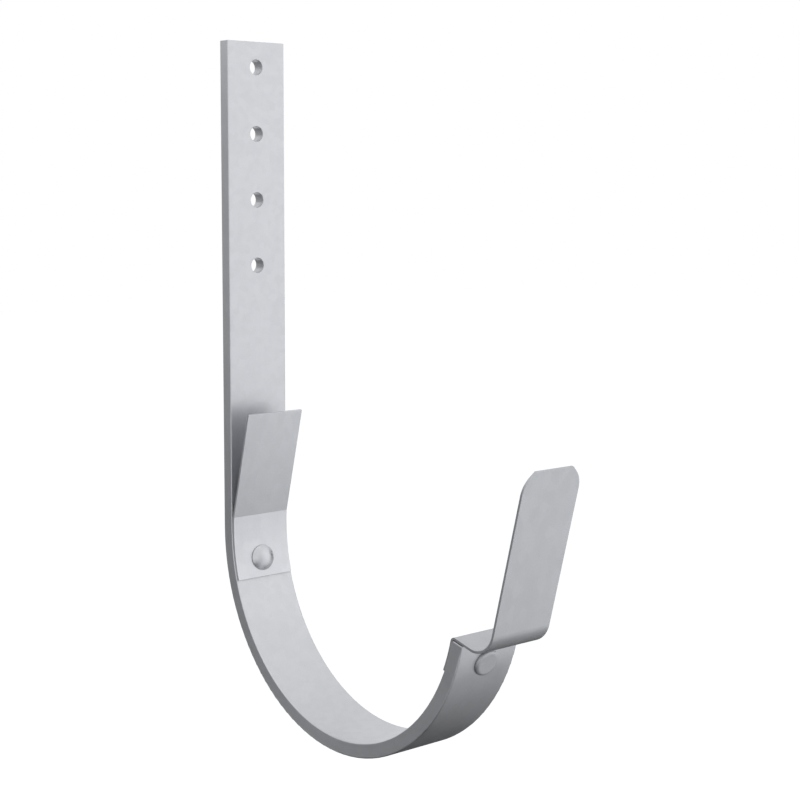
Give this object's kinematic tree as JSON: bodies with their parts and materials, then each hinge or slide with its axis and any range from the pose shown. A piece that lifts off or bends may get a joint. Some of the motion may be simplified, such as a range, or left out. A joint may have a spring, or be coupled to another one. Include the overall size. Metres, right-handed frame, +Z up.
{
  "type": "half-round gutter bracket",
  "caption": "Flat steel bracket bent to a half circle to carry a half-round gutter, with screw holes in its straight back and riveted sheet tongues that fold over the gutter's edges.",
  "frame": {"origin": "middle of the line of screw holes, on the back face of the bar", "axes": "+Z up along the straight back, +Y out of the back face towards the wall, +X across the bar"},
  "size_m": [0.03, 0.1963, 0.2997],
  "materials": {
    "bar_steel": "satin hot-dip galvanised",
    "sheet_steel": "satin galvanised sheet",
    "rivet_steel": "satin galvanised, hammered"
  },
  "bodies": {
    "root": {"bracket_bar": "bar_steel", "rear_tongue": "sheet_steel", "front_tongue": "sheet_steel", "rear_rivet": "rivet_steel", "front_rivet": "rivet_steel"}
  },
  "joints": []
}
